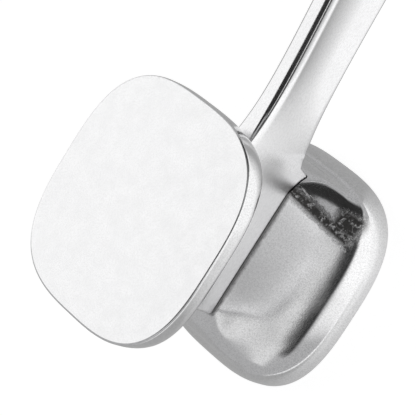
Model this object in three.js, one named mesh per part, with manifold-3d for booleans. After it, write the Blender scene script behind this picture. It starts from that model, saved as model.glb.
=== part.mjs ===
import * as THREE from 'three';
import { mergeVertices } from 'three/addons/utils/BufferGeometryUtils.js';
import Module from 'manifold-3d';

// Meat tenderizer: two rounded-square striking blocks on the blade of a fluted cast handle.
// All sizes are in millimetres. +Z is up and the smooth face looks up, +Y runs along the handle.

// Driving dimensions of the blocks
const face_half_width = 29.0;
const face_half_height = 30.85;
const outline_power = 3.0;
const head_length = 62.8;
const rim_height = 2.45;
const rounding_rise = 8.6;
const side_rounding = 14.0;
const end_rounding = 7.6;
const rounding_start = 33.3;
const foot_power = 4.3;
const corner_softening = 2.25;
const face_edge_rounding = 0.35;

// Driving dimensions of the roof-shaped backs that carry the blocks on the core
const seat_set_back = 0.35;
const seat_top_margin = 3.3;
const seat_bottom_margin = 0.5;
const seat_power = 12.0;
const seat_squaring = 6.0;
const waist_power = 3.0;
const end_fullness = 2.2;
const foot_blend = 0.15;
const blend_turn = 0.2;

// Driving dimensions of the core, the part of the handle between the blocks
const core_half_thickness = 3.6;
const core_half_depth = 13.4;
const core_bottom = -19.1;
const core_top = 24.2;
const core_edge_radius = 1.2;
const core_end_chamfer = 0.8;

// Driving dimensions of the handle above the head
const handle_half_thickness = 3.4;
const handle_half_depth = 9.4;
const handle_edge_radius = 1.65;
const flute_depth = 1.25;
const flute_run_in = 30.0;
const root_half_depth = 12.4;
const root_length = 30.0;
const root_power = 3.1;
const shoulder_reach = 3.3;
const shoulder_rise = 1.9;
const shoulder_run_out = 5.8;
const shoulder_power = 1.6;
const shoulder_clearance = 0.3;
const handle_lean = 6.3;
const lean_line_crossing = 34.0;
const handle_reach = 188.0;
const end_half_depth = 11.4;
const swell_start = 50.0;
const swell_length = 65.0;
const end_flute_run_out = 34.0;
const hanging_hole_radius = 4.0;
const hanging_hole_setback = 11.5;

// Driving dimensions of the teeth
const tooth_pitch = 6.2;
const tooth_gap = 0.4;
const tooth_height = 4.0;
const tooth_tip_width = 0.9;
const tooth_rim_margin = 2.2;
const tooth_root = 0.6;

// Driving dimensions of the tie pins
const pin_radius = 2.0;
const pin_clearance = 0.15;
const pin_end_chamfer = 0.5;
const pin_bite = 14.0;
const upper_pin_height = 14.0;
const lower_pin_height = -9.0;

// Fineness of the faceted surfaces
const outline_steps = 64;
const rounding_steps = 7;
const blend_steps = 3;
const slope_steps = 6;
const corner_steps = 4;
const flute_steps = 6;
const run_out_steps = 5;
const rise_steps = 4;
const root_steps = 7;
const grip_steps = 7;
const end_steps = 6;
const pin_steps = 24;

const wasm = await Module();
wasm.setup();

const head_middle = -head_length / 2;
const seat_height = head_length / 2 - core_half_depth;
const seat_top = core_top - seat_top_margin;
const seat_bottom = core_bottom + seat_bottom_margin;
const lean_angle = THREE.MathUtils.degToRad(handle_lean);

// Solids from closed meshes, and meshes from solids
function to_solid(geometry) {
  const bare = geometry.clone();
  bare.deleteAttribute('normal');
  bare.deleteAttribute('uv');
  const merged = mergeVertices(bare, 1e-4);
  const vertProperties = new Float32Array(merged.attributes.position.array);
  const triVerts = new Uint32Array(merged.index.array);
  return new wasm.Manifold(new wasm.Mesh({ numProp: 3, vertProperties, triVerts }));
}

function to_geometry(solid) {
  const mesh = solid.getMesh();
  const geometry = new THREE.BufferGeometry();
  geometry.setAttribute('position', new THREE.BufferAttribute(mesh.vertProperties, 3));
  geometry.setIndex(new THREE.BufferAttribute(mesh.triVerts, 1));
  geometry.computeVertexNormals();
  return geometry;
}

// A closed skin through rings of equal length, each ring turning the same way about the path
function loft(rings) {
  const count = rings[0].length;
  const positions = [];
  const indices = [];
  for (const ring of rings) {
    for (const point of ring) {
      positions.push(point.x, point.y, point.z);
    }
  }
  for (let level = 0; level + 1 < rings.length; level += 1) {
    for (let step = 0; step < count; step += 1) {
      const next = (step + 1) % count;
      const a = level * count + step;
      const b = level * count + next;
      indices.push(a, b, a + count, b, b + count, a + count);
    }
  }
  add_cap(rings[0], 0, positions, indices, true);
  add_cap(rings[rings.length - 1], (rings.length - 1) * count, positions, indices, false);
  const geometry = new THREE.BufferGeometry();
  geometry.setAttribute('position', new THREE.Float32BufferAttribute(positions, 3));
  geometry.setIndex(indices);
  return geometry;
}

function add_cap(ring, first, positions, indices, at_start) {
  const centre = new THREE.Vector3();
  for (const point of ring) {
    centre.addScaledVector(point, 1 / ring.length);
  }
  const middle = positions.length / 3;
  positions.push(centre.x, centre.y, centre.z);
  for (let step = 0; step < ring.length; step += 1) {
    const here = first + step;
    const next = first + ((step + 1) % ring.length);
    if (at_start) {
      indices.push(middle, next, here);
    } else {
      indices.push(middle, here, next);
    }
  }
}

// Rounded-square outline of a block about (0, middle_y): |x/a|^n + |y/b|^n = 1
function outline_ring(half_x, half_y, power, middle_y, z) {
  const ring = [];
  for (let step = 0; step < outline_steps; step += 1) {
    const angle = (step / outline_steps) * Math.PI * 2;
    const across = Math.abs(Math.cos(angle) / half_x) ** power;
    const along = Math.abs(Math.sin(angle) / half_y) ** power;
    const reach = (across + along) ** (-1 / power);
    ring.push(new THREE.Vector3(Math.cos(angle) * reach, middle_y + Math.sin(angle) * reach, z));
  }
  return ring;
}

// The rounding between rim and back. turn is 1 at the rim and 0 where the slope of the back begins.
function rounding_level(turn) {
  const angle = THREE.MathUtils.lerp(THREE.MathUtils.degToRad(rounding_start), Math.PI / 2, turn);
  const inset = 1 - Math.sin(angle);
  return {
    half_x: face_half_width - side_rounding * inset,
    half_y: face_half_height - end_rounding * inset,
    power: outline_power + (foot_power - outline_power) * (1 - turn) ** corner_softening,
    height: rim_height + rounding_rise * Math.cos(angle),
  };
}

function rounding_ring(turn) {
  const level = rounding_level(turn);
  return outline_ring(level.half_x, level.half_y, level.power, 0, level.height);
}

// The slope of the back, from the rounding at climb 0 up to the seat on the core at climb 1
function slope_ring(climb) {
  const foot = rounding_level(0);
  const end_share = climb ** end_fullness;
  const waist = THREE.MathUtils.lerp(foot.power, waist_power, climb);
  return outline_ring(
    THREE.MathUtils.lerp(foot.half_x, core_half_thickness - seat_set_back, climb),
    THREE.MathUtils.lerp(foot.half_y, (seat_top - seat_bottom) / 2, end_share),
    waist + (seat_power - waist_power) * climb ** seat_squaring,
    ((seat_top + seat_bottom) / 2) * end_share,
    THREE.MathUtils.lerp(foot.height, seat_height, climb),
  );
}

// A ring on the curve that leaves the first ring towards the middle one and ends on the last
function curved_ring(first, middle, last, share) {
  return first.map((point, step) => {
    const towards = point.clone().lerp(middle[step], share);
    const onwards = middle[step].clone().lerp(last[step], share);
    return towards.lerp(onwards, share);
  });
}

// A block with its face at z = 0 looking down and its back looking up
function block_skin() {
  const edge_half_width = face_half_width - face_edge_rounding;
  const edge_half_height = face_half_height - face_edge_rounding;
  const rings = [
    outline_ring(edge_half_width, edge_half_height, outline_power, 0, 0),
    outline_ring(face_half_width, face_half_height, outline_power, 0, face_edge_rounding),
  ];
  for (let step = rounding_steps; step >= 0; step -= 1) {
    rings.push(rounding_ring(THREE.MathUtils.lerp(blend_turn, 1, step / rounding_steps)));
  }
  const before = rings[rings.length - 1];
  for (let step = 1; step <= blend_steps; step += 1) {
    rings.push(curved_ring(before, rounding_ring(0), slope_ring(foot_blend), step / blend_steps));
  }
  for (let step = 1; step <= slope_steps; step += 1) {
    rings.push(slope_ring(THREE.MathUtils.lerp(foot_blend, 1, step / slope_steps)));
  }
  return loft(rings);
}

// One pyramid tooth with a small flat on its tip, pointing down from z = 0
function tooth_skin(x, y) {
  const root_width = tooth_pitch - tooth_gap;
  const growth = (root_width - tooth_tip_width) / tooth_height;
  const half_diagonal = Math.SQRT2 / 2;
  const wide = (root_width + growth * tooth_root) * half_diagonal;
  const tooth = new THREE.CylinderGeometry(wide, tooth_tip_width * half_diagonal, tooth_height + tooth_root, 4);
  tooth.rotateY(Math.PI / 4);
  tooth.rotateX(Math.PI / 2);
  tooth.translate(x, y, (tooth_root - tooth_height) / 2);
  return tooth;
}

function tooth_fits(x, y) {
  const reach_x = (Math.abs(x) + (tooth_pitch - tooth_gap) / 2) / (face_half_width - tooth_rim_margin);
  const reach_y = (Math.abs(y) + (tooth_pitch - tooth_gap) / 2) / (face_half_height - tooth_rim_margin);
  return reach_x ** outline_power + reach_y ** outline_power <= 1;
}

function add_teeth(solid) {
  let toothed = solid;
  const columns = Math.ceil(face_half_width / tooth_pitch);
  const rows = Math.ceil(face_half_height / tooth_pitch);
  for (let column = -columns; column < columns; column += 1) {
    for (let row = -rows; row <= rows; row += 1) {
      const x = (column + 0.5) * tooth_pitch;
      const y = row * tooth_pitch;
      if (tooth_fits(x, y)) {
        toothed = toothed.add(to_solid(tooth_skin(x, y)));
      }
    }
  }
  return toothed;
}

// A round bar along Z between two heights
function bar_skin(radius, y, from_z, to_z) {
  const bar = new THREE.CylinderGeometry(radius, radius, to_z - from_z, pin_steps);
  bar.rotateX(Math.PI / 2);
  bar.translate(0, y, (from_z + to_z) / 2);
  return bar;
}

function drill_pin_holes(solid, from_z, to_z) {
  let drilled = solid;
  for (const height of [upper_pin_height, lower_pin_height]) {
    drilled = drilled.subtract(to_solid(bar_skin(pin_radius + pin_clearance, height, from_z, to_z)));
  }
  return drilled;
}

// The room that the shoulder takes out of a block's back, in the frame of the head
function shoulder_room() {
  const rings = shoulder_stations().map((distance) => section_ring(
    distance,
    core_half_thickness + shoulder_clearance,
    bar_size(distance).half_depth + shoulder_clearance,
    core_edge_radius,
    0,
  ));
  return loft(rings);
}

// A block in its own frame, and room is the shoulder's room in that frame
function make_block(with_teeth, room) {
  let solid = to_solid(block_skin()).subtract(to_solid(room));
  if (with_teeth) {
    solid = add_teeth(solid);
  }
  const hole_bottom = seat_height - pin_bite - 2 * pin_clearance;
  return to_geometry(drill_pin_holes(solid, hole_bottom, seat_height + core_half_depth));
}

// How far the bar has turned from the core's shape to the grip's, over the shoulder's run-out
function shoulder_turn(distance) {
  return THREE.MathUtils.smoothstep(distance, core_top - shoulder_run_out, core_top);
}

// The handle's centre line: straight up the head's middle, then the leaning line of the grip
function path_at(distance) {
  const rise = (distance - lean_line_crossing) * Math.tan(lean_angle);
  const tilt = THREE.MathUtils.smoothstep(distance, core_top + shoulder_rise, core_top + root_length);
  return { y: distance, z: head_middle + shoulder_turn(distance) * rise, angle: tilt * lean_angle };
}

// Section of the bar: flat front and rear edges, rounded corners, a shallow flute along each side
function section_ring(distance, half_thickness, half_depth, corner, flute) {
  const place = path_at(distance);
  const radius = Math.min(corner, half_thickness * 0.9, half_depth * 0.9);
  const straight = half_depth - radius;
  const points = [];
  const corners = [[1, 1, 0], [-1, 1, 1], [-1, -1, 2], [1, -1, 3]];
  corners.forEach(([side_x, side_d, quarter]) => {
    for (let step = 0; step <= corner_steps; step += 1) {
      const angle = ((quarter + step / corner_steps) * Math.PI) / 2;
      const x = side_x * (half_thickness - radius) + radius * Math.cos(angle);
      points.push([x, side_d * straight + radius * Math.sin(angle)]);
    }
    if (quarter === 1 || quarter === 3) {
      for (let step = 1; step < flute_steps; step += 1) {
        const depth = side_d * straight * (1 - (2 * step) / flute_steps);
        const hollow = flute * (1 - (depth / straight) ** 2);
        points.push([side_x * (half_thickness - hollow), depth]);
      }
    }
  });
  return points.reverse().map(([x, depth]) => new THREE.Vector3(
    x,
    place.y - depth * Math.sin(place.angle),
    place.z + depth * Math.cos(place.angle),
  ));
}

const end_centre = handle_reach - end_half_depth;

// The shoulder above the core: steep towards the grip, drawn out towards the head's middle
function shoulder_height(distance) {
  const past_tip = distance - core_top;
  if (past_tip >= 0) {
    const fall = Math.min(past_tip / shoulder_rise, 1);
    return (shoulder_reach * (1 + Math.cos(Math.PI * fall))) / 2;
  }
  return shoulder_reach * Math.max(1 + past_tip / shoulder_run_out, 0) ** shoulder_power;
}

// Half depth, half thickness and flute depth of the bar at a distance along its centre line
function bar_size(distance) {
  const up_root = THREE.MathUtils.clamp((distance - core_top) / root_length, 0, 1);
  const root = 1 - (1 - up_root) ** root_power;
  const swell = THREE.MathUtils.smoothstep(distance, swell_start, swell_start + swell_length);
  const run_in = THREE.MathUtils.smoothstep(distance, core_top, core_top + flute_run_in);
  const run_out = THREE.MathUtils.smoothstep(distance, end_centre - end_flute_run_out, end_centre);
  const grip_half_depth = THREE.MathUtils.lerp(handle_half_depth, end_half_depth, swell);
  const base_half_depth = THREE.MathUtils.lerp(core_half_depth, root_half_depth, shoulder_turn(distance));
  return {
    half_depth: THREE.MathUtils.lerp(base_half_depth, grip_half_depth, root) + shoulder_height(distance),
    half_thickness: THREE.MathUtils.lerp(core_half_thickness, handle_half_thickness, root),
    corner: THREE.MathUtils.lerp(core_edge_radius, handle_edge_radius, root),
    flute: flute_depth * run_in * (1 - run_out),
  };
}

function add_run(stations, from, to, steps) {
  for (let step = 1; step <= steps; step += 1) {
    stations.push(from + ((to - from) * step) / steps);
  }
}

function shoulder_stations() {
  const stations = [core_top - shoulder_run_out];
  add_run(stations, core_top - shoulder_run_out, core_top, run_out_steps);
  add_run(stations, core_top, core_top + shoulder_rise, rise_steps);
  return stations;
}

function handle_stations() {
  const stations = shoulder_stations();
  add_run(stations, core_top + shoulder_rise, core_top + root_length, root_steps);
  add_run(stations, core_top + root_length, end_centre - end_flute_run_out, grip_steps);
  add_run(stations, end_centre - end_flute_run_out, end_centre, grip_steps);
  return stations;
}

function handle_skin() {
  const rings = [
    section_ring(
      core_bottom,
      core_half_thickness - core_end_chamfer,
      core_half_depth,
      core_edge_radius - core_end_chamfer / 2,
      0,
    ),
    section_ring(core_bottom + core_end_chamfer, core_half_thickness, core_half_depth, core_edge_radius, 0),
  ];
  for (const distance of handle_stations()) {
    const size = bar_size(distance);
    rings.push(section_ring(distance, size.half_thickness, size.half_depth, size.corner, size.flute));
  }
  for (let step = 1; step < end_steps; step += 1) {
    const angle = (step / end_steps) * (Math.PI / 2);
    const narrowing = Math.cos(angle);
    rings.push(section_ring(
      end_centre + end_half_depth * Math.sin(angle),
      handle_half_thickness * (0.75 + 0.25 * narrowing),
      end_half_depth * narrowing,
      handle_edge_radius,
      0,
    ));
  }
  return loft(rings);
}

function make_handle() {
  const hole_at = path_at(handle_reach - hanging_hole_setback);
  const hole = new THREE.CylinderGeometry(
    hanging_hole_radius,
    hanging_hole_radius,
    core_half_thickness * 4,
    pin_steps,
  );
  hole.rotateZ(Math.PI / 2);
  hole.translate(0, hole_at.y, hole_at.z);
  const bored = to_solid(handle_skin()).subtract(to_solid(hole));
  return to_geometry(drill_pin_holes(bored, -head_length, 0));
}

function make_pin(height) {
  const half_length = core_half_depth + pin_bite;
  const profile = [
    new THREE.Vector2(0, -half_length),
    new THREE.Vector2(pin_radius - pin_end_chamfer, -half_length),
    new THREE.Vector2(pin_radius, -half_length + pin_end_chamfer),
    new THREE.Vector2(pin_radius, half_length - pin_end_chamfer),
    new THREE.Vector2(pin_radius - pin_end_chamfer, half_length),
    new THREE.Vector2(0, half_length),
  ];
  const pin = new THREE.LatheGeometry(profile, pin_steps);
  pin.rotateX(Math.PI / 2);
  pin.translate(0, height, head_middle);
  return pin;
}

// Finishes seen on the real object
function polished_aluminium() {
  return new THREE.MeshStandardMaterial({ color: 0xd2d3d5, roughness: 0.22, metalness: 1.0 });
}

function satin_aluminium() {
  return new THREE.MeshStandardMaterial({ color: 0xe2e3e4, roughness: 0.38, metalness: 1.0 });
}

function bright_steel() {
  return new THREE.MeshStandardMaterial({ color: 0xa9acb0, roughness: 0.3, metalness: 1.0 });
}

function named_mesh(name, geometry, material) {
  const mesh = new THREE.Mesh(geometry, material);
  mesh.name = name;
  return mesh;
}

const tenderizer = new THREE.Group();

// The smooth block looks up, so its skin is turned over about the handle's direction
const smooth_room = shoulder_room().rotateY(Math.PI);
const smooth_block = named_mesh('smooth_face_block', make_block(false, smooth_room), satin_aluminium());
smooth_block.rotation.y = Math.PI;
tenderizer.add(smooth_block);

const toothed_room = shoulder_room().translate(0, 0, head_length);
const toothed_block = named_mesh('toothed_face_block', make_block(true, toothed_room), satin_aluminium());
toothed_block.position.z = -head_length;
tenderizer.add(toothed_block);

tenderizer.add(named_mesh('handle', make_handle(), polished_aluminium()));
tenderizer.add(named_mesh('upper_tie_pin', make_pin(upper_pin_height), bright_steel()));
tenderizer.add(named_mesh('lower_tie_pin', make_pin(lower_pin_height), bright_steel()));

// The origin lies under the middle of the whole object, on the surface that it stands on
tenderizer.updateMatrixWorld(true);
const extent = new THREE.Box3().setFromObject(tenderizer, true);
tenderizer.position.set(
  -(extent.min.x + extent.max.x) / 2,
  -(extent.min.y + extent.max.y) / 2,
  -extent.min.z,
);
tenderizer.updateMatrixWorld(true);

export default tenderizer;
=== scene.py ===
"""Meat tenderizer of cast and polished aluminium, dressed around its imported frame.

Every size is in metres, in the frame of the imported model: +Z up through the smooth face, +Y along
the handle. Each operator makes one piece, and main calls them in order.
"""

import math

import bmesh
import bpy
from bpy.props import FloatProperty, FloatVectorProperty, PointerProperty
from mathutils import Matrix, Vector


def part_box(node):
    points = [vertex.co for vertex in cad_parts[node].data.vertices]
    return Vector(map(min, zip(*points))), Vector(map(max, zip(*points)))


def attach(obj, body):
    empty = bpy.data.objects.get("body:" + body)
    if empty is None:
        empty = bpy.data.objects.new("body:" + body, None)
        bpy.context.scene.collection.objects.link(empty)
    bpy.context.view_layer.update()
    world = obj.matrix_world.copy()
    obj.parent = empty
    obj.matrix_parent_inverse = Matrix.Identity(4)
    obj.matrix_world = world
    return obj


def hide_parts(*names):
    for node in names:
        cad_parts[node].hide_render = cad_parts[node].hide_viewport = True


bl_info = {
    "name": "Meat tenderizer",
    "version": (1, 0, 0),
    "blender": (4, 5, 0),
    "location": "View3D > Sidebar > Tenderizer",
    "description": "Models an aluminium meat tenderizer with a smooth and a toothed face",
    "category": "Add Mesh",
}

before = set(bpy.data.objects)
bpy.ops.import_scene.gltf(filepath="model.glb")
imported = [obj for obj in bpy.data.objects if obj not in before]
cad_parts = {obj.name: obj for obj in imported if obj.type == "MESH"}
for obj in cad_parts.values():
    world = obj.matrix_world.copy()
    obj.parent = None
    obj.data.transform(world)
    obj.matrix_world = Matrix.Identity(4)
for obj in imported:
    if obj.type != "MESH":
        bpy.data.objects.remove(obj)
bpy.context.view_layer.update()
SMOOTH_LOW, SMOOTH_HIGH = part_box("smooth_face_block")
TOOTHED_LOW, TOOTHED_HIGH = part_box("toothed_face_block")
HANDLE_LOW, HANDLE_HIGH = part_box("handle")
PIN_LOW, PIN_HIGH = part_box("upper_tie_pin")
LOWER_PIN_LOW, LOWER_PIN_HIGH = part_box("lower_tie_pin")

MERGE_DISTANCE = 1e-7
CREASE_ANGLE = math.radians(38)
HEAD_MIDDLE_Y = (SMOOTH_LOW.y + SMOOTH_HIGH.y) / 2
HEAD_MIDDLE_Z = (PIN_LOW.z + PIN_HIGH.z) / 2
HALF_FACE_HEIGHT = (SMOOTH_HIGH.y - SMOOTH_LOW.y) / 2
HALF_CORE_DEPTH = HEAD_MIDDLE_Z - TOOTHED_HIGH.z
CORE_BOTTOM = HANDLE_LOW.y - HEAD_MIDDLE_Y
BODY = "root"


def length(name, description, default):
    """A size in metres."""
    return FloatProperty(
        name=name, description=description, default=default, subtype="DISTANCE", unit="LENGTH", precision=5
    )


def share(name, description, default):
    """A value from 0 to 1."""
    return FloatProperty(
        name=name, description=description, default=default, min=0.0, max=1.0, subtype="FACTOR"
    )


def number(name, description, default):
    """A plain number, such as the power of a curve."""
    return FloatProperty(name=name, description=description, default=default)


def turn_angle(name, description, degrees):
    """An angle, given in degrees."""
    return FloatProperty(
        name=name, description=description, default=math.radians(degrees), subtype="ANGLE", unit="ROTATION"
    )


def colour(name, description, default):
    """A linear colour."""
    return FloatVectorProperty(
        name=name, description=description, default=default, size=3, min=0.0, max=1.0, subtype="COLOR"
    )


class BlockSizes(bpy.types.PropertyGroup):
    """Sizes of the two striking blocks"""

    half_width: length("Half width", "Half of a face across the handle", SMOOTH_HIGH.x)
    half_height: length("Half height", "Half of a face along the handle", HALF_FACE_HEIGHT)
    outline_power: number("Outline power", "Squareness of the rim's outline", 3.0)
    inner_power: number("Inner power", "Squareness where the slope begins", 4.3)
    corner_softening: number("Corner softening", "How fast the outline turns square inwards", 2.25)
    face_edge: length("Face edge", "Rounding between a face and the rim", 0.00055)
    rim: length("Rim", "Height of the straight rim", 0.00245)
    depth: length("Rounding depth", "Height of the whole rounding above the rim", 0.0086)
    side_rounding: length("Side rounding", "Reach of the whole rounding from the sides", 0.014)
    end_rounding: length("End rounding", "Reach of the whole rounding from the ends", 0.0076)
    rounding_start: turn_angle(
        "Rounding start", "Where the back's slope turns into the rounding, as an angle on it", 33.3
    )
    seat: length("Seat", "Distance from a face to the seat on the core", SMOOTH_HIGH.z - SMOOTH_LOW.z)


class BackSizes(bpy.types.PropertyGroup):
    """Sizes of the blocks' backs, which slope up to the core like a roof"""

    set_back: length("Set back", "Step from the core's side in to the seat's", 0.00035)
    waist_power: number("Waist power", "Squareness half way up the slope", 3.0)
    seat_power: number("Seat power", "Squareness of the seat's outline", 12.0)
    seat_squaring: number("Seat squaring", "How late the slope's outline turns square towards the seat", 6.0)
    end_fullness: number("End fullness", "How far the ends bulge out", 2.2)
    foot_blend: share("Foot blend", "Share of the slope that is blended into the rounding", 0.15)
    top_margin: length("Top margin", "From the core's top down to the seat's", 0.0033)
    bottom_margin: length("Bottom margin", "From the core's bottom up to the seat's", 0.0005)


class HandleSizes(bpy.types.PropertyGroup):
    """Sizes of the core and the handle that runs on from it"""

    core_thickness: length("Core half thickness", "Half thickness of the core", HANDLE_HIGH.x)
    core_depth: length("Core half depth", "Half depth of the core between the seats", HALF_CORE_DEPTH)
    core_bottom: length("Core bottom", "Lower end of the core from the head's middle", CORE_BOTTOM)
    core_top: length("Core top", "Tip of the shoulder from the head's middle", 0.0242)
    core_edge: length("Core edge", "Edge rounding of the core", 0.0012)
    bottom_edge: length("Bottom edge", "Edge rounding around the core's lower end", 0.0008)
    half_thickness: length("Half thickness", "Half thickness of the grip", 0.0034)
    half_depth: length("Half depth", "Half depth of the grip at its waist", 0.0094)
    edge: length("Edge", "Edge rounding of the grip", 0.00165)
    corner_spread: number("Corner spread", "How much wider than deep the grip's corners are", 2.2)
    flute: length("Flute", "Depth of the hollow along each side", 0.00125)
    flute_run_in: length("Flute run in", "Length over which the flutes deepen from the core", 0.03)
    flute_run_out: length("Flute run out", "Length over which the flutes fade at the end", 0.034)
    root_depth: length("Root half depth", "Half depth of the root at the core's top", 0.0124)
    root_length: length("Root length", "Length of the root's taper", 0.03)
    root_power: number("Root power", "How fast the root tapers", 3.1)
    shoulder: length("Shoulder", "How far the shoulder stands out", 0.0033)
    shoulder_rise: length("Shoulder rise", "Length of the shoulder on the grip's side", 0.0019)
    shoulder_run_out: length("Shoulder run-out", "Length of the shoulder along the core", 0.0058)
    shoulder_power: number("Shoulder power", "How fast the run-out falls", 1.6)
    shoulder_clearance: length("Shoulder clearance", "Gap between the shoulder and a block", 0.0003)
    lean: turn_angle("Lean", "Lean of the grip towards the smooth face", 6.3)
    lean_crossing: length("Lean crossing", "Where the leaning line crosses the head's middle", 0.034)
    reach: length("Reach", "End of the handle from the head's middle", HANDLE_HIGH.y - HEAD_MIDDLE_Y)
    end_depth: length("End half depth", "Half depth of the handle's round end", 0.0114)
    swell_start: length("Swell start", "Where the grip begins to widen", 0.05)
    swell_length: length("Swell length", "Length over which the grip widens", 0.065)
    hole_radius: length("Hole radius", "Radius of the hanging hole", 0.004)
    hole_set_back: length("Hole set back", "Hole's middle from the handle's end", 0.0115)
    hole_edge: length("Hole edge", "Countersink at each mouth of the hole", 0.0006)


class ToothSizes(bpy.types.PropertyGroup):
    """Sizes of the pyramid teeth"""

    pitch: length("Pitch", "Distance between teeth", 0.0062)
    gap: length("Gap", "Flat between two teeth", 0.0004)
    height: length("Height", "Height of a tooth", 0.004)
    tip: length("Tip", "Width of a tooth's flat tip", 0.0009)
    rim_margin: length("Rim margin", "Bare border along the rim", 0.0022)
    edge: length("Edge", "Rounding of a tooth's edges", 0.00013)


class PinSizes(bpy.types.PropertyGroup):
    """Sizes of the tie pins and their bores"""

    radius: length("Radius", "Radius of a pin", PIN_HIGH.x)
    clearance: length("Clearance", "Gap between a pin and its bore", 0.00015)
    end_edge: length("End edge", "Rounding at a pin's ends", 0.0005)


class FinishColours(bpy.types.PropertyGroup):
    """Colours of the metals"""

    aluminium: colour("Aluminium", "Polished cast aluminium", (0.83, 0.83, 0.835))
    face: colour("Face", "Ground striking face", (0.83, 0.83, 0.835))
    # The dark tone is painted shade in the crease along the core and on the line across the toothed block's
    # back, and oxidised metal in the pitted corner.
    shade_and_oxide: colour("Oxide", "Grey oxide in creases and pits", (0.05, 0.048, 0.046))
    steel: colour("Steel", "Ground steel of the pins", (0.62, 0.62, 0.63))


class StageSettings(bpy.types.PropertyGroup):
    """Floor, light and camera"""

    floor_half: length("Floor half size", "Half of the floor's side", 1.5)
    camera_place: FloatVectorProperty(
        name="Camera place",
        description="From the middle of the smooth face",
        default=(0.29120, 0.08058, 0.34685),
        subtype="TRANSLATION",
        unit="LENGTH",
    )
    lens: FloatProperty(name="Lens", description="Focal length", default=165.4, unit="CAMERA")


class TenderizerSettings(bpy.types.PropertyGroup):
    """All sizes and colours of the tenderizer"""

    block: PointerProperty(type=BlockSizes)
    back: PointerProperty(type=BackSizes)
    handle: PointerProperty(type=HandleSizes)
    tooth: PointerProperty(type=ToothSizes)
    pin: PointerProperty(type=PinSizes)
    finish: PointerProperty(type=FinishColours)
    stage: PointerProperty(type=StageSettings)


def settings():
    """The sizes and colours of this scene."""
    return bpy.context.scene.tenderizer


# Mesh helpers


def smoothstep(value, low, high):
    """0 below low, 1 above high, and a smooth rise between."""
    along = min(max((value - low) / (high - low), 0.0), 1.0)
    return along * along * (3 - 2 * along)


def blend(low, high, along):
    """The value a share of the way from low to high."""
    return low + (high - low) * along


def wrap_sheet(rings):
    """A bmesh sheet laid through equal rings of points, closed along its length."""
    count = len(rings[0])
    bm = bmesh.new()
    bmesh.ops.create_grid(bm, x_segments=len(rings) - 1, y_segments=count, size=0.5)
    for vert in bm.verts:
        ring = round((vert.co.x + 0.5) * (len(rings) - 1))
        step = round((vert.co.y + 0.5) * count) % count
        vert.co = rings[ring][step]
    bmesh.ops.remove_doubles(bm, verts=bm.verts, dist=MERGE_DISTANCE)
    return bm


def close_ends(bm):
    """Closes each open loop of a sheet with one flat face."""
    open_edges = [edge for edge in bm.edges if edge.is_boundary]
    made = bmesh.ops.holes_fill(bm, edges=open_edges, sides=0)
    bmesh.ops.recalc_face_normals(bm, faces=bm.faces)
    return made["faces"]


def sharpen(bm):
    """Sharp edges wherever the surface turns by more than the crease angle."""
    for edge in bm.edges:
        if len(edge.link_faces) == 2 and edge.calc_face_angle() > CREASE_ANGLE:
            edge.smooth = False


def mark_creases(bm, flats=()):
    """Smooth shading, with sharp edges at creases and around flats."""
    for face in bm.faces:
        face.smooth = True
    sharpen(bm)
    for face in flats:
        for edge in face.edges:
            edge.smooth = False


def to_object(bm, name):
    """An object at the origin that holds this mesh."""
    mesh = bpy.data.meshes.new(name)
    bm.to_mesh(mesh)
    bm.free()
    made = bpy.data.objects.new(name, mesh)
    bpy.context.scene.collection.objects.link(made)
    return made


def cut(piece, cutters):
    """Cuts the cutters' shapes out of the piece, and removes the cutters."""
    for cutter in cutters:
        modifier = piece.modifiers.new(cutter.name, "BOOLEAN")
        modifier.operation = "DIFFERENCE"
        modifier.solver = "EXACT"
        modifier.object = cutter
    bpy.context.view_layer.update()
    evaluated = piece.evaluated_get(bpy.context.evaluated_depsgraph_get())
    mesh = bpy.data.meshes.new_from_object(evaluated)
    piece.modifiers.clear()
    old = piece.data
    piece.data = mesh
    mesh.name = piece.name
    bpy.data.meshes.remove(old)
    for cutter in cutters:
        bpy.data.objects.remove(cutter)
    bm = bmesh.new()
    bm.from_mesh(mesh)
    sharpen(bm)
    bm.to_mesh(mesh)
    bm.free()


BAR_SEGMENTS = 64
QUAD_CORNERS = 4


def round_bar(name, radius, middle, half_length, axis, mouth=0.0):
    """A round bar along axis, flared by mouth at both ends."""
    bm = bmesh.new()
    bmesh.ops.create_circle(bm, cap_ends=True, segments=BAR_SEGMENTS, radius=radius + mouth)
    top = next(iter(bm.faces))
    turn = Vector((0, 0, 1)).rotation_difference(Vector(axis)).to_matrix().to_4x4()
    bmesh.ops.translate(bm, verts=bm.verts, vec=(0, 0, -half_length))
    levels = ((mouth, radius), (2 * half_length - 2 * mouth, radius), (mouth, radius + mouth))
    for rise, ring_radius in levels:
        if rise == 0:
            continue
        made = bmesh.ops.extrude_face_region(bm, geom=[top])
        top = next(item for item in made["geom"] if isinstance(item, bmesh.types.BMFace))
        for vert in top.verts:
            flat = Vector((vert.co.x, vert.co.y)).normalized() * ring_radius
            vert.co = Vector((flat.x, flat.y, vert.co.z + rise))
    caps = [face for face in bm.faces if len(face.verts) > QUAD_CORNERS]
    bmesh.ops.delete(bm, geom=caps, context="FACES_ONLY")
    close_ends(bm)
    bmesh.ops.transform(bm, matrix=Matrix.Translation(middle) @ turn, verts=bm.verts)
    bmesh.ops.recalc_face_normals(bm, faces=bm.faces)
    return to_object(bm, name)


def dress(piece, node, materials):
    """Gives the piece its finish and its place in the frame."""
    for material in materials:
        if material.name not in piece.data.materials:
            piece.data.materials.append(material)
    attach(piece, BODY)
    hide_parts(node)


# Blocks


def rounded_square(turn, half_x, half_y, power):
    """Point of the outline |x/a|^n + |y/b|^n = 1, turn round it."""
    across, along = math.cos(turn), math.sin(turn)
    reach = (abs(across) ** power + abs(along) ** power) ** (-1 / power)
    return half_x * across * reach, half_y * along * reach


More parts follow.
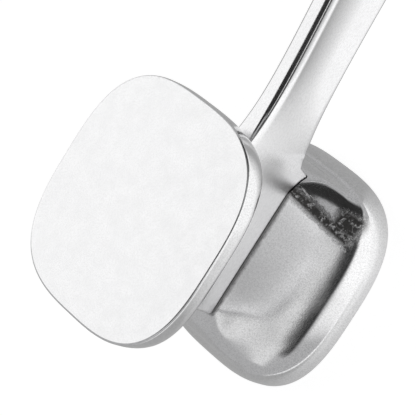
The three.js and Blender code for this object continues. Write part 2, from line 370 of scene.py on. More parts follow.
def rounding_level(block, turn):
    """Half sizes, squareness and height of the back's rounding.

    turn is 1 at the rim and 0 where the slope begins.
    """
    angle = blend(block.rounding_start, math.pi / 2, turn)
    inset = 1 - math.sin(angle)
    return (
        block.half_width - block.side_rounding * inset,
        block.half_height - block.end_rounding * inset,
        blend(block.outline_power, block.inner_power, (1 - turn) ** block.corner_softening),
        block.rim + block.depth * math.cos(angle),
    )


ROUND_STEPS = 208
EDGE_STEPS = 5
ROUNDING_STEPS = 18
BLEND_STEPS = 10
SLOPE_STEPS = 16
BLEND_TURN = 0.2


def block_rings():
    """Rings of a block's skin from its face at z = 0 up to the seat, about the head's middle."""
    block, back, handle = settings().block, settings().back, settings().handle
    turns = [2 * math.pi * step / ROUND_STEPS for step in range(ROUND_STEPS)]
    rings = []
    for step in range(EDGE_STEPS + 1):
        angle = step / EDGE_STEPS * math.pi / 2
        inset = block.face_edge * (1 - math.sin(angle))
        rise = block.face_edge * (1 - math.cos(angle))
        half_x, half_y = block.half_width - inset, block.half_height - inset
        outline = [rounded_square(turn, half_x, half_y, block.outline_power) for turn in turns]
        rings.append([Vector((x, y, rise)) for x, y in outline])

    def rounding(level):
        half_x, half_y, squareness, rise = rounding_level(block, level)
        return [Vector((*rounded_square(turn, half_x, half_y, squareness), rise)) for turn in turns]

    top = handle.core_top - back.top_margin
    bottom = handle.core_bottom + back.bottom_margin
    middle, seat_y = (top + bottom) / 2, (top - bottom) / 2
    seat_x = handle.core_thickness - back.set_back
    foot_x, foot_y, foot_power, foot_rise = rounding_level(block, 0.0)

    def slope(height):
        end_share = height**back.end_fullness
        squareness = blend(foot_power, back.waist_power, height)
        squareness += (back.seat_power - back.waist_power) * height**back.seat_squaring
        half_x, half_y = blend(foot_x, seat_x, height), blend(foot_y, seat_y, end_share)
        ring = []
        for turn in turns:
            x, y = rounded_square(turn, half_x, half_y, squareness)
            ring.append(Vector((x, y + middle * end_share, blend(foot_rise, block.seat, height))))
        return ring

    for step in range(ROUNDING_STEPS + 1):
        rings.append(rounding(blend(1.0, BLEND_TURN, step / ROUNDING_STEPS)))
    before, foot, after = rings[-1], rounding(0.0), slope(back.foot_blend)
    for step in range(1, BLEND_STEPS + 1):
        along = step / BLEND_STEPS
        ring = []
        for first, corner, last in zip(before, foot, after):
            ring.append(first.lerp(corner, along).lerp(corner.lerp(last, along), along))
        rings.append(ring)
    for step in range(1, SLOPE_STEPS + 1):
        rings.append(slope(blend(back.foot_blend, 1.0, step / SLOPE_STEPS)))
    return rings


def block_mesh(face_z, inward):
    """A block's closed mesh in the frame, and its striking face. inward is the sign of Z into the block."""
    rings = block_rings()
    for ring in rings:
        for point in ring:
            point.y += HEAD_MIDDLE_Y
            point.z = face_z + inward * point.z
    bm = wrap_sheet(rings)
    flats = close_ends(bm)
    striking = min(flats, key=lambda face: abs(face.calc_center_median().z - face_z))
    mark_creases(bm, flats)
    return bm, striking


def head_cutters():
    """Cutters of the two pin bores."""
    pin = settings().pin
    half_length = (PIN_HIGH.z - PIN_LOW.z) / 2 + 2 * pin.clearance
    bores = (("upper_bore", PIN_LOW, PIN_HIGH), ("lower_bore", LOWER_PIN_LOW, LOWER_PIN_HIGH))
    cutters = []
    for name, low, high in bores:
        middle = (low + high) / 2
        cutters.append(round_bar(name, pin.radius + pin.clearance, middle, half_length, (0, 0, 1)))
    return cutters


SHOULDER_ROOM_STEPS = 16


def shoulder_cutter():
    """A cutter that clears a block from the handle's shoulder."""
    handle = settings().handle
    low = handle.core_top - handle.shoulder_run_out
    high = handle.core_top + handle.shoulder_rise
    half_thickness = handle.core_thickness + handle.shoulder_clearance
    rings = []
    for step in range(SHOULDER_ROOM_STEPS + 1):
        distance = blend(low, high, step / SHOULDER_ROOM_STEPS)
        _thickness, depth, _corner, _flute = bar_size(distance)
        half_depth = depth + handle.shoulder_clearance
        rings.append(section(distance, half_thickness, half_depth, handle.core_edge, 0.0))
    bm = wrap_sheet(rings)
    close_ends(bm)
    return to_object(bm, "shoulder_room")


# Handle


def shoulder_turn(distance):
    """How far the bar has turned from the core's shape to the root's, from 0 to 1."""
    handle = settings().handle
    return smoothstep(distance, handle.core_top - handle.shoulder_run_out, handle.core_top)


def path_at(distance):
    """Height of the centre line and tilt of the section at a distance from the head's middle."""
    handle = settings().handle
    rise = (distance - handle.lean_crossing) * math.tan(handle.lean)
    tilt = smoothstep(distance, handle.core_top + handle.shoulder_rise, handle.core_top + handle.root_length)
    return HEAD_MIDDLE_Z + shoulder_turn(distance) * rise, tilt * handle.lean


def shoulder_height(distance):
    """How far the shoulder stands out at a distance."""
    handle = settings().handle
    past_tip = distance - handle.core_top
    if past_tip >= 0:
        fall = min(past_tip / handle.shoulder_rise, 1.0)
        return handle.shoulder * (1 + math.cos(math.pi * fall)) / 2
    return handle.shoulder * max(1 + past_tip / handle.shoulder_run_out, 0.0) ** handle.shoulder_power


def bar_size(distance):
    """Half thickness, half depth, edge rounding and flute of the bar at a distance."""
    handle = settings().handle
    up_root = min(max((distance - handle.core_top) / handle.root_length, 0.0), 1.0)
    root = 1 - (1 - up_root) ** handle.root_power
    swell = smoothstep(distance, handle.swell_start, handle.swell_start + handle.swell_length)
    run_in = smoothstep(distance, handle.core_top, handle.core_top + handle.flute_run_in)
    end_centre = handle.reach - handle.end_depth
    run_out = smoothstep(distance, end_centre - handle.flute_run_out, end_centre)
    grip = blend(handle.half_depth, handle.end_depth, swell)
    base = blend(handle.core_depth, handle.root_depth, shoulder_turn(distance))
    return (
        blend(handle.core_thickness, handle.half_thickness, root),
        blend(base, grip, root) + shoulder_height(distance),
        blend(handle.core_edge, handle.edge, root),
        handle.flute * run_in * (1 - run_out),
    )


CORNER_STEPS = 8
SIDE_STEPS = 18
EDGE_FACE_STEPS = 4
BOTTOM_STEPS = 4
END_STEPS = 24


def section(distance, half_thickness, half_depth, corner, flute, past_end=0.0):
    """One ring of the bar. past_end is how far it lies past the centre of the round end."""
    centre_z, tilt = path_at(distance)
    handle = settings().handle
    wide = corner + max(corner - handle.core_edge, 0.0) * handle.corner_spread
    points = []
    corners = ((1, 1, 0), (-1, 1, 1), (-1, -1, 2), (1, -1, 3))
    for side_x, side_d, first in corners:
        for step in range(CORNER_STEPS + 1):
            angle = (first + step / CORNER_STEPS) * math.pi / 2
            out_x, out_d = math.cos(angle), math.sin(angle)
            offset = corner * (1 - abs(out_d))
            reach = math.sqrt(max((half_depth - offset) ** 2 - past_end**2, 0.0))
            x = half_thickness - wide + wide * abs(out_x)
            if reach == 0.0:
                inside = min(half_depth - past_end, corner)
                x = half_thickness - wide + wide * math.sqrt(max(1 - (1 - inside / corner) ** 2, 0.0))
            points.append((side_x * x, side_d * reach))
        end_x, end_d = points[-1]
        if first in (1, 3):
            for step in range(1, SIDE_STEPS):
                depth = end_d * (1 - 2 * step / SIDE_STEPS)
                hollow = flute * (1 - (depth / end_d) ** 2) if end_d else 0.0
                points.append((end_x - side_x * hollow, depth))
        else:
            for step in range(1, EDGE_FACE_STEPS):
                points.append((end_x * (1 - 2 * step / EDGE_FACE_STEPS), end_d))
    ring = []
    for x, depth in points:
        y = HEAD_MIDDLE_Y + distance - depth * math.sin(tilt)
        ring.append(Vector((x, y, centre_z + depth * math.cos(tilt))))
    return ring


def handle_rings():
    """Rings of the bar from the core's bottom to the round end."""
    handle = settings().handle
    end_centre = handle.reach - handle.end_depth
    shoulder_start = handle.core_top - handle.shoulder_run_out
    shoulder_end = handle.core_top + handle.shoulder_rise
    root_end = handle.core_top + handle.root_length
    rings = []
    for step in range(BOTTOM_STEPS + 1):
        angle = step / BOTTOM_STEPS * math.pi / 2
        distance = handle.core_bottom + handle.bottom_edge * (1 - math.cos(angle))
        inset = handle.bottom_edge * (1 - math.sin(angle))
        half_thickness = handle.core_thickness - inset
        rings.append(section(distance, half_thickness, handle.core_depth - inset, handle.core_edge, 0.0))
    runs = (
        (handle.core_bottom + handle.bottom_edge, shoulder_start, 12),
        (shoulder_start, handle.core_top, 16),
        (handle.core_top, shoulder_end, 10),
        (shoulder_end, root_end, 30),
        (root_end, end_centre - handle.flute_run_out, 30),
        (end_centre - handle.flute_run_out, end_centre, 20),
    )
    for low, high, steps in runs:
        for step in range(1, steps + 1):
            distance = blend(low, high, step / steps)
            rings.append(section(distance, *bar_size(distance)))
    size = bar_size(end_centre)
    for step in range(1, END_STEPS + 1):
        past = handle.end_depth * math.sin(step / END_STEPS * math.pi / 2)
        rings.append(section(end_centre + past, *size, past_end=past))
    return rings


# Materials


def add_node(tree, kind, **inputs):
    """A shader node with these inputs set, by socket name with spaces as underscores."""
    made = tree.nodes.new(kind)
    for name, value in inputs.items():
        made.inputs[name.replace("_", " ")].default_value = value
    return made


def noise(tree, where, scale, detail=3.0, roughness=0.55, stretch=(1.0, 1.0, 1.0)):
    """Noise over Object coordinates. scale is in cycles per metre."""
    mapping = add_node(tree, "ShaderNodeMapping", Scale=stretch)
    texture = add_node(tree, "ShaderNodeTexNoise", Scale=scale, Detail=detail, Roughness=roughness)
    tree.links.new(where, mapping.inputs["Vector"])
    tree.links.new(mapping.outputs["Vector"], texture.inputs["Vector"])
    return texture.outputs["Fac"]


def spread(tree, value, low, high, to_low, to_high):
    """Maps a value from one range to another, clamped."""
    made = add_node(tree, "ShaderNodeMapRange", From_Min=low, From_Max=high, To_Min=to_low, To_Max=to_high)
    tree.links.new(value, made.inputs["Value"])
    return made.outputs["Result"]


def combine(tree, operation, first, second):
    """The result of a maths operation on two values, each a socket or a number."""
    made = tree.nodes.new("ShaderNodeMath")
    made.operation = operation
    for socket, value in zip(made.inputs, (first, second)):
        if isinstance(value, bpy.types.NodeSocket):
            tree.links.new(value, socket)
        else:
            socket.default_value = value
    return made.outputs[0]


def multiply(tree, first, second):
    """The product of two values."""
    return combine(tree, "MULTIPLY", first, second)


def edges(tree, value, low, low_soft, high, high_soft):
    """1 between low and high, falling to 0 over each side's own softness."""
    rise = spread(tree, value, low - low_soft, low, 0.0, 1.0)
    fall = spread(tree, value, high, high + high_soft, 1.0, 0.0)
    return multiply(tree, rise, fall)


def band(tree, value, low, high, soft):
    """1 between low and high, falling to 0 over soft outside them."""
    return edges(tree, value, low, soft, high, soft)


def mix_colour(tree, factor, first, second):
    """A colour between two others."""
    made = tree.nodes.new("ShaderNodeMix")
    made.data_type = "RGBA"
    tree.links.new(factor, made.inputs["Factor"])
    for socket, value in ((made.inputs["A"], first), (made.inputs["B"], second)):
        if isinstance(value, bpy.types.NodeSocket):
            tree.links.new(value, socket)
        else:
            socket.default_value = (*value, 1.0)
    return made.outputs["Result"]


def bump(tree, height, distance, strength, below=None):
    """A bump of this height over the one below it."""
    made = add_node(tree, "ShaderNodeBump", Strength=strength, Distance=distance)
    tree.links.new(height, made.inputs["Height"])
    if below is not None:
        tree.links.new(below, made.inputs["Normal"])
    return made.outputs["Normal"]


def split(tree, where):
    """The X, Y and Z of a point, as sockets."""
    parts = tree.nodes.new("ShaderNodeSeparateXYZ")
    tree.links.new(where, parts.inputs[0])
    return parts.outputs["X"], parts.outputs["Y"], parts.outputs["Z"]


WAVE_SCALE = 60.0
WAVE_HEIGHT = 0.0001
WAVE_STRENGTH = 0.25
GRAIN_STRENGTH = 0.3


def metal(name, base, dull_share, rough, grain, patch_scale=90.0):
    """A bare metal with grain, slow waves from casting, and duller patches.

    grain is its scale in cycles per metre, its stretch, its tone and its height. What a finish adds to
    is given too: the point, the tone, the roughness and the normal.
    """
    grain_scale, grain_stretch, grain_tone, grain_height = grain
    dull = tuple(dull_share * part for part in base)
    material = bpy.data.materials.new(name)
    material.use_nodes = True
    tree = material.node_tree
    shader = tree.nodes["Principled BSDF"]
    shader.inputs["Metallic"].default_value = 1.0
    where = tree.nodes.new("ShaderNodeTexCoord").outputs["Object"]
    patches = noise(tree, where, patch_scale, detail=4.0)
    grains = noise(tree, where, grain_scale, detail=2.0, stretch=grain_stretch)
    waves = noise(tree, where, WAVE_SCALE, detail=1.0)
    tone = mix_colour(tree, spread(tree, patches, 0.35, 0.7, 0.0, 1.0), base, dull)
    speck = tuple((1 - grain_tone) * part for part in dull)
    tone = mix_colour(tree, spread(tree, grains, 0.4, 0.68, 0.0, 1.0), tone, speck)
    roughness = spread(tree, patches, 0.3, 0.7, *rough)
    slow = bump(tree, waves, WAVE_HEIGHT, WAVE_STRENGTH)
    normal = bump(tree, grains, grain_height, GRAIN_STRENGTH, slow)
    tree.links.new(tone, shader.inputs["Base Color"])
    tree.links.new(roughness, shader.inputs["Roughness"])
    tree.links.new(normal, shader.inputs["Normal"])
    return material, where, (tone, roughness, normal)


EVEN = (1.0, 1.0, 1.0)
ALONG_HANDLE = (1.0, 0.5, 1.0)
ALONG_PIN = (1.0, 1.0, 0.05)
CORE_SATIN = 0.3
SATIN_START = -0.001
SATIN_END = 0.008


def polished_aluminium():
    """The handle: polished with faint grinding lines along it, and satin on the core between the blocks."""
    material, where, (_tone, roughness, _normal) = metal(
        "polished_aluminium",
        base=tuple(settings().finish.aluminium),
        dull_share=0.96,
        rough=(0.09, 0.14),
        grain=(3200.0, ALONG_HANDLE, 0.07, 0.000006),
    )
    tree = material.node_tree
    _x, y, _z = split(tree, where)
    core_end = HEAD_MIDDLE_Y + settings().handle.core_top
    satin = spread(tree, y, core_end + SATIN_START, core_end + SATIN_END, CORE_SATIN, 0.0)
    roughest = combine(tree, "MAXIMUM", roughness, satin)
    tree.links.new(roughest, tree.nodes["Principled BSDF"].inputs["Roughness"])
    return material


DARKENED_ROUGHNESS = 0.45
PIT_DEPTH = 0.00025
PIT_STRENGTH = 1.0


def tumbled_aluminium():
    """The blocks' bodies: satin with a fine grain, painted shade in the crease along the core and on a line
    across the back, and oxidised metal in the pitted corner.
    """
    material, where, (tone, roughness, normal) = metal(
        "tumbled_aluminium",
        base=tuple(settings().finish.aluminium),
        dull_share=0.93,
        rough=(0.1, 0.16),
        grain=(2600.0, EVEN, 0.13, 0.000015),
    )
    tree = material.node_tree
    shader = tree.nodes["Principled BSDF"]
    darkening, pits = darkening_and_pits(tree, where)
    # Painted shade in the crease and on the line across the back; oxidised metal in the pitted corner.
    darkened_tone = mix_colour(tree, darkening, tone, tuple(settings().finish.shade_and_oxide))
    dulled = combine(tree, "MAXIMUM", roughness, multiply(tree, darkening, DARKENED_ROUGHNESS))
    pitted = bump(tree, pits, PIT_DEPTH, PIT_STRENGTH, normal)
    tree.links.new(darkened_tone, shader.inputs["Base Color"])
    tree.links.new(dulled, shader.inputs["Roughness"])
    tree.links.new(pitted, shader.inputs["Normal"])
    return material


PIT_SCALE = 900.0
# Width of the painted shade in the crease where a block meets the core.
CREASE_END = 0.00055
CREASE_SOFT = 0.0004
CREASE_RAGGED = 0.0005
CREASE_SHARE = 0.8
# Place and width of the line of painted shade across the toothed block's back.
SHADE_LINE_AT_CORE = 0.0203
SHADE_LINE_SLANT = 0.17
SHADE_LINE_HALF_WIDTH = 0.0009
SHADE_LINE_END = 0.0023
SHADE_LINE_RAGGED = 0.0025
SHADE_LINE_REACH = 0.021
CORNER_ACROSS = (0.0165, 0.0212, 0.0025)
CORNER_ALONG = (0.0185, 0.0225, 0.002)
ROUGH_BACK = (-0.0235, 0.0, 0.001)
# How dark the line of painted shade and the pitted corner get, and how much darker they are in spots.
LINE_AND_CORNER_DARKNESS = 0.45
SPOT_DARKNESS = 0.53
SPOT_RANGE = (0.37, 0.48)


def darkening_and_pits(tree, where):
    """Share of darkening on a block's back, and the height of its cast pits.

    Painted shade darkens the crease along the core on both blocks. On the toothed block a line of painted
    shade also runs across the back near the handle, and the pitted corner where that line ends is darkened
    as oxidised metal.
    """
    x, y, z = split(tree, where)
    across = combine(tree, "ABSOLUTE", x, 0.0)
    along = combine(tree, "SUBTRACT", y, HEAD_MIDDLE_Y)
    above = combine(tree, "SUBTRACT", z, HEAD_MIDDLE_Z)
    off_middle = combine(tree, "ABSOLUTE", above, 0.0)
    coarse = noise(tree, where, PIT_SCALE, detail=4.0, roughness=0.7)
    ragged = combine(tree, "SUBTRACT", coarse, 0.5)

    # Painted shade: darkens each block next to its seat on the core.
    crease_end = settings().handle.core_depth + CREASE_END
    reach = combine(tree, "ADD", off_middle, multiply(tree, ragged, CREASE_RAGGED))
    crease = spread(tree, reach, crease_end - CREASE_SOFT, crease_end, 1.0, 0.0)

    # Painted shade: a dark line across the toothed block's back near the handle.
    shade_line_middle = combine(tree, "SUBTRACT", SHADE_LINE_AT_CORE, multiply(tree, across, SHADE_LINE_SLANT))
    from_shade_line = combine(tree, "ABSOLUTE", combine(tree, "SUBTRACT", along, shade_line_middle), 0.0)
    from_shade_line = combine(tree, "ADD", from_shade_line, multiply(tree, ragged, SHADE_LINE_RAGGED))
    shade_line = spread(tree, from_shade_line, SHADE_LINE_HALF_WIDTH, SHADE_LINE_END, 1.0, 0.0)
    shade_line = multiply(tree, shade_line, band(tree, across, 0.0, SHADE_LINE_REACH, 0.002))
    corner = multiply(tree, band(tree, across, *CORNER_ACROSS), band(tree, along, *CORNER_ALONG))
    on_back = band(tree, above, *ROUGH_BACK)
    line_and_corner = multiply(tree, on_back, combine(tree, "MAXIMUM", shade_line, corner))

    spots = spread(tree, coarse, *SPOT_RANGE, 0.0, 1.0)
    dark = combine(tree, "ADD", LINE_AND_CORNER_DARKNESS, multiply(tree, spots, SPOT_DARKNESS))
    darkening = combine(tree, "MAXIMUM", multiply(tree, crease, CREASE_SHARE), multiply(tree, line_and_corner, dark))
    return darkening, multiply(tree, coarse, line_and_corner)


def ground_face():
    """A striking face: ground flat and pale, with a faint mottle."""
    material, _where, _sockets = metal(
        "ground_face",
        base=tuple(settings().finish.face),
        dull_share=0.965,
        rough=(0.16, 0.2),
        grain=(2600.0, EVEN, 0.03, 0.00001),
        patch_scale=260.0,
    )
    return material


def ground_steel():
    """The tie pins."""
    material, _where, _sockets = metal(
        "ground_steel",
        base=tuple(settings().finish.steel),
        dull_share=0.9,
        rough=(0.25, 0.35),
        grain=(5000.0, ALONG_PIN, 0.1, 0.00001),
    )
    return material


# Floor, light and camera

FLOOR_PAPER = (0.95, 0.95, 0.95, 1.0)
FLOOR_LIFTED = (0.35, 0.35, 0.35, 1.0)
WHITE = (1.0, 1.0, 1.0)
# Glow of the floor's painted pool of light, far and near, and its even glow as the camera sees it.
FLOOR_GLOW_FAR = 0.26
FLOOR_GLOW_NEAR = 1.0
FLOOR_GLOW_SEEN = 0.84
POOL_ACROSS = (0.008, 0.044)
POOL_ALONG = (-0.05, 0.015)
POOL_BEYOND = (0.08, 0.14)


def floor_material():
    """A white floor that keeps the shadow. What the metal mirrors of it is a painted pool of light, bright
    on one side only.
    """
    material = bpy.data.materials.new("pale_floor")
    material.use_nodes = True
    tree = material.node_tree
    tree.nodes.clear()
    output = tree.nodes.new("ShaderNodeOutputMaterial")
    paper = add_node(tree, "ShaderNodeBsdfDiffuse", Color=FLOOR_PAPER)
    lifted = add_node(tree, "ShaderNodeBsdfDiffuse", Color=FLOOR_LIFTED)
    glow = add_node(tree, "ShaderNodeEmission", Color=(*WHITE, 1.0))
    both = tree.nodes.new("ShaderNodeAddShader")
    mix = tree.nodes.new("ShaderNodeMixShader")
    path = tree.nodes.new("ShaderNodeLightPath")
    x, y, _z = split(tree, tree.nodes.new("ShaderNodeTexCoord").outputs["Object"])
    # Painted light: a glowing pool on the floor beside the head and beyond it, seen only in reflections.
    beside = spread(tree, x, *POOL_ACROSS, 0.0, 1.0)
    start, end = (HEAD_MIDDLE_Y + reach for reach in POOL_ALONG)
    along = spread(tree, y, start, end, 0.0, 1.0)
    beyond = spread(tree, x, *POOL_BEYOND, 0.0, 1.0)
    lit = combine(tree, "MAXIMUM", multiply(tree, beside, along), beyond)
    pool = spread(tree, lit, 0.0, 1.0, FLOOR_GLOW_FAR, FLOOR_GLOW_NEAR)
    strength = tree.nodes.new("ShaderNodeMix")
    strength.inputs["B"].default_value = FLOOR_GLOW_SEEN
    tree.links.new(path.outputs["Is Camera Ray"], strength.inputs["Factor"])
    tree.links.new(pool, strength.inputs["A"])
    tree.links.new(strength.outputs["Result"], glow.inputs["Strength"])
    tree.links.new(lifted.outputs[0], both.inputs[0])
    tree.links.new(glow.outputs[0], both.inputs[1])
    seen = combine(tree, "MAXIMUM", path.outputs["Is Camera Ray"], path.outputs["Is Glossy Ray"])
    tree.links.new(seen, mix.inputs[0])
    tree.links.new(paper.outputs[0], mix.inputs[1])
    tree.links.new(both.outputs[0], mix.inputs[2])
    tree.links.new(mix.outputs[0], output.inputs["Surface"])
    return material


GREY_LIGHT = (0.5, 0.5, 0.505)
RIGHT_LIGHT = (1.25, 1.25, 1.25)
LEFT_LIGHT = (1.16, 1.16, 1.16)
FLAG_LIGHT = (0.03, 0.03, 0.03)
SLOT_LIGHT = (0.9, 0.9, 0.9)

# Each light is a tone and the windows of sky that it fills. A window has two parts, each a low end with
# its softness and a high end with its softness: degrees from straight up towards +X, and the share of a
# direction that points along the handle.
LIGHTS = (
    (RIGHT_LIGHT, (((34, 6, 116, 6), (-0.15, 0.12, 0.75, 0.14)),)),
    (LEFT_LIGHT, (((-112, 3, -30, 3), (-0.35, 0.15, 0.4, 0.15)),)),
    (FLAG_LIGHT, (((-28, 2.5, 24, 17), (-0.36, 0.06, 0.85, 0.06)),)),
    (
        SLOT_LIGHT,
        (
            ((9.5, 1, 14.2, 1), (-0.6, 0.05, -0.04, 0.05)),
            ((9.5, 1.5, 16.5, 1.5), (-0.7, 0.04, -0.3, 0.04)),
        ),
    ),
    (GREY_LIGHT, (((-15, 8, 15, 5), (0.16, 0.06, 0.31, 0.06)),)),
    (GREY_LIGHT, (((-7, 3, 5, 3), (-0.01, 0.04, 0.12, 0.04)),)),
)


def make_world(scene):
    """A grey studio with a soft white light on each side and a dark flag overhead that has openings."""
    world = bpy.data.worlds.new("studio")
    scene.world = world
    world.use_nodes = True
    tree = world.node_tree
    x, along, z = split(tree, tree.nodes.new("ShaderNodeTexCoord").outputs["Generated"])
    side = combine(tree, "ARCTAN2", x, z)
    tone = GREY_LIGHT
    for light, windows in LIGHTS:
        share_lit = 0.0
        for angles, reach in windows:
            from_above = edges(tree, side, *(math.radians(angle) for angle in angles))
            window = multiply(tree, from_above, edges(tree, along, *reach))
            share_lit = combine(tree, "MAXIMUM", window, share_lit)
        tone = mix_colour(tree, share_lit, tone, light)
    path = tree.nodes.new("ShaderNodeLightPath")
    tone = mix_colour(tree, path.outputs["Is Camera Ray"], tone, WHITE)
    background = tree.nodes["Background"]
    background.inputs["Strength"].default_value = 1.0
    tree.links.new(tone, background.inputs["Color"])


CAMERA_AXES = ((0.6148, -0.4999, 0.6101), (0.5259, 0.8363, 0.1553), (-0.5878, 0.2254, 0.777))
CLIP_START = 0.01


class TENDERIZER_OT_stage(bpy.types.Operator):
    """Make the floor, the light and the camera"""

    bl_idname = "tenderizer.stage"
    bl_label = "Stage"

    def execute(self, context):
        stage = settings().stage
        bm = bmesh.new()
        bmesh.ops.create_grid(bm, x_segments=1, y_segments=1, size=stage.floor_half)
        floor = to_object(bm, "floor")
        floor.data.materials.append(floor_material())
        make_world(context.scene)
        data = bpy.data.cameras.new("camera")
        data.lens = stage.lens
        data.clip_start = CLIP_START
        camera = bpy.data.objects.new("camera", data)
        context.scene.collection.objects.link(camera)
        camera.location = Vector((0, HEAD_MIDDLE_Y, SMOOTH_HIGH.z)) + Vector(stage.camera_place)
        camera.rotation_euler = Matrix(CAMERA_AXES).to_euler()
        context.scene.camera = camera
        context.scene.view_settings.view_transform = "Standard"
        return {"FINISHED"}


# Pieces

HOLE_OVERSHOOT = 0.0004


class TENDERIZER_OT_handle(bpy.types.Operator):
    """Make the handle with the core that runs on through the head"""

    bl_idname = "tenderizer.handle"
    bl_label = "Handle"

    def execute(self, context):
        handle = settings().handle
        bm = wrap_sheet(handle_rings())
        bmesh.ops.dissolve_degenerate(bm, dist=MERGE_DISTANCE, edges=bm.edges)
        flats = close_ends(bm)
        mark_creases(bm, flats)
        piece = to_object(bm, "aluminium_handle")
        distance = handle.reach - handle.hole_set_back
        centre_z, _tilt = path_at(distance)
        hole = round_bar(
            "hanging_hole",
            handle.hole_radius,
            Vector((0, HEAD_MIDDLE_Y + distance, centre_z)),
            handle.half_thickness + HOLE_OVERSHOOT,
            (1, 0, 0),
            mouth=handle.hole_edge + HOLE_OVERSHOOT,
        )
        cut(piece, [hole, *head_cutters()])
        dress(piece, "handle", [polished_aluminium()])
        return {"FINISHED"}


class TENDERIZER_OT_smooth_block(bpy.types.Operator):
    """Make the block with the smooth striking face"""

    bl_idname = "tenderizer.smooth_block"
    bl_label = "Smooth block"

    def execute(self, context):
        bm, striking = block_mesh(SMOOTH_HIGH.z, -1)
        striking.material_index = 1
        piece = to_object(bm, "smooth_block")
        cut(piece, [shoulder_cutter(), *head_cutters()])
        dress(piece, "smooth_face_block", [tumbled_aluminium(), ground_face()])
        return {"FINISHED"}


class TENDERIZER_OT_toothed_block(bpy.types.Operator):
    """Make the block with the toothed striking face"""

    bl_idname = "tenderizer.toothed_block"
    bl_label = "Toothed block"

    def execute(self, context):
        tooth = settings().tooth
        bm, striking = block_mesh(TOOTHED_LOW.z + tooth.height, 1)
        raise_teeth(bm, striking)
        piece = to_object(bm, "toothed_block")
        cut(piece, [shoulder_cutter(), *head_cutters()])
        dress(piece, "toothed_face_block", [tumbled_aluminium(), ground_face()])
        return {"FINISHED"}


CELL_TOLERANCE = 0.0002
LINE_DIGITS = 7


def tooth_cells():
    """Middles of the cells whose whole tooth stays inside the bare border."""
    tooth, block = settings().tooth, settings().block
    columns = math.ceil(block.half_width / tooth.pitch)
    rows = math.ceil(block.half_height / tooth.pitch)
    cells = []
    for column in range(-columns, columns):
        for row in range(-rows, rows + 1):
            cell = ((column + 0.5) * tooth.pitch, row * tooth.pitch)
            if tooth_fits(*cell):
                cells.append(cell)
    return cells


def raise_teeth(bm, striking):
    """Scores the face into cells and draws each whole cell out into a pyramid."""
    tooth = settings().tooth
    face_z = striking.calc_center_median().z
    half_root = (tooth.pitch - tooth.gap) / 2
    cells = tooth_cells()
    lines_x = sorted({round(x + sign * half_root, LINE_DIGITS) for x, _y in cells for sign in (-1, 1)})
    lines_y = sorted({round(y + sign * half_root, LINE_DIGITS) for _x, y in cells for sign in (-1, 1)})

    def level(vert):
        return abs(vert.co.z - face_z) < MERGE_DISTANCE

    def on_face():
        return [face for face in bm.faces if all(level(vert) for vert in face.verts)]

    def score(point, normal):
        faces = on_face()
        lines = {edge for face in faces for edge in face.edges}
        verts = {vert for face in faces for vert in face.verts}
        bmesh.ops.bisect_plane(
            bm, geom=[*faces, *lines, *verts], dist=MERGE_DISTANCE, plane_co=point, plane_no=normal
        )

    for x in lines_x:
        score(Vector((x, HEAD_MIDDLE_Y, face_z)), Vector((1, 0, 0)))
    for y in lines_y:
        score(Vector((0, HEAD_MIDDLE_Y + y, face_z)), Vector((0, 1, 0)))
    wanted = []
    for face in on_face():
        middle = face.calc_center_median()
        for x, y in cells:
            off_x, off_y = abs(middle.x - x), abs(middle.y - HEAD_MIDDLE_Y - y)
            if max(off_x, off_y) < CELL_TOLERANCE:
                wanted.append(face)
    for face in bm.faces:
        if abs(face.calc_center_median().z - face_z) < MERGE_DISTANCE:
            face.material_index = 1
    bmesh.ops.inset_individual(
        bm, faces=wanted, thickness=half_root - tooth.tip / 2, depth=tooth.height, use_even_offset=True
    )
    tips = set(wanted)
    sides = {face for tip in tips for edge in tip.edges for face in edge.link_faces} - tips
    slants = set()
    for side in sides:
        for edge in side.edges:
            if all(face in sides for face in edge.link_faces):
                slants.add(edge)
    crowns = {edge for tip in tips for edge in tip.edges}
    bmesh.ops.bevel(
        bm,
        geom=[*slants, *crowns],
        offset=tooth.edge,
        offset_type="OFFSET",
        segments=2,
        profile=0.5,
        affect="EDGES",
        material=-1,
        clamp_overlap=True,
    )
    for face in bm.faces:
        if face.calc_center_median().z < face_z - MERGE_DISTANCE:
            face.material_index = 1
    mark_creases(bm)
    for face in on_face():
        for edge in face.edges:
            edge.smooth = False


def tooth_fits(x, y):
    """Whether a whole tooth at this cell stays inside the bare border."""
    tooth, block = settings().tooth, settings().block
    half_root = (tooth.pitch - tooth.gap) / 2
    reach_x = (abs(x) + half_root) / (block.half_width - tooth.rim_margin)
    reach_y = (abs(y) + half_root) / (block.half_height - tooth.rim_margin)
    return reach_x**block.outline_power + reach_y**block.outline_power <= 1


PIN_SEGMENTS = 48
PIN_EDGE_STEPS = 3


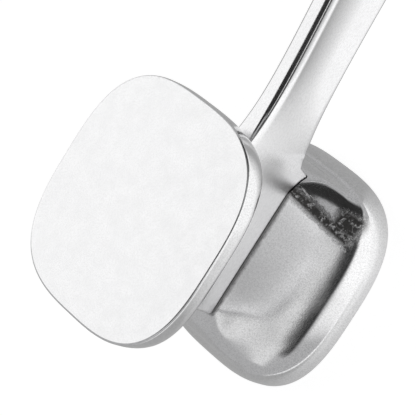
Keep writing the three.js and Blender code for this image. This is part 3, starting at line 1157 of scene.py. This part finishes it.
class TENDERIZER_OT_tie_pins(bpy.types.Operator):
    """Make the two pins that tie the blocks to the core"""

    bl_idname = "tenderizer.tie_pins"
    bl_label = "Tie pins"

    def execute(self, context):
        pin = settings().pin
        steel = ground_steel()
        places = (("upper_tie_pin", PIN_LOW, PIN_HIGH), ("lower_tie_pin", LOWER_PIN_LOW, LOWER_PIN_HIGH))
        for node, low, high in places:
            bm = bmesh.new()
            bmesh.ops.create_cone(
                bm,
                cap_ends=True,
                segments=PIN_SEGMENTS,
                radius1=pin.radius,
                radius2=pin.radius,
                depth=high.z - low.z,
            )
            ends = [face for face in bm.faces if len(face.verts) > QUAD_CORNERS]
            bmesh.ops.bevel(
                bm,
                geom=[edge for end in ends for edge in end.edges],
                offset=pin.end_edge,
                segments=PIN_EDGE_STEPS,
                profile=0.5,
                affect="EDGES",
                material=-1,
            )
            bmesh.ops.translate(bm, verts=bm.verts, vec=(low + high) / 2)
            mark_creases(bm, [face for face in bm.faces if len(face.verts) > QUAD_CORNERS])
            piece = to_object(bm, "steel_" + node)
            dress(piece, node, [steel])
        return {"FINISHED"}


class TENDERIZER_PT_sidebar(bpy.types.Panel):
    """The tenderizer's pieces and sizes"""

    bl_label = "Tenderizer"
    bl_idname = "TENDERIZER_PT_sidebar"
    bl_space_type = "VIEW_3D"
    bl_region_type = "UI"
    bl_category = "Tenderizer"

    def draw(self, context):
        layout = self.layout
        for operator in PIECES:
            layout.operator(operator.bl_idname)


PIECES = (
    TENDERIZER_OT_stage,
    TENDERIZER_OT_handle,
    TENDERIZER_OT_smooth_block,
    TENDERIZER_OT_toothed_block,
    TENDERIZER_OT_tie_pins,
)
GROUPS = (
    BlockSizes,
    BackSizes,
    HandleSizes,
    ToothSizes,
    PinSizes,
    FinishColours,
    StageSettings,
    TenderizerSettings,
)


def register():
    """Adds the settings, the operators and the panel."""
    for group in GROUPS:
        bpy.utils.register_class(group)
    bpy.types.Scene.tenderizer = PointerProperty(type=TenderizerSettings)
    for operator in PIECES:
        bpy.utils.register_class(operator)
    bpy.utils.register_class(TENDERIZER_PT_sidebar)


def unregister():
    """Takes them out again."""
    bpy.utils.unregister_class(TENDERIZER_PT_sidebar)
    for operator in reversed(PIECES):
        bpy.utils.unregister_class(operator)
    del bpy.types.Scene.tenderizer
    for group in reversed(GROUPS):
        bpy.utils.unregister_class(group)


def main():
    """Makes the stage and every piece."""
    register()
    bpy.ops.tenderizer.stage()
    bpy.ops.tenderizer.handle()
    bpy.ops.tenderizer.smooth_block()
    bpy.ops.tenderizer.toothed_block()
    bpy.ops.tenderizer.tie_pins()


if __name__ == "__main__":
    main()
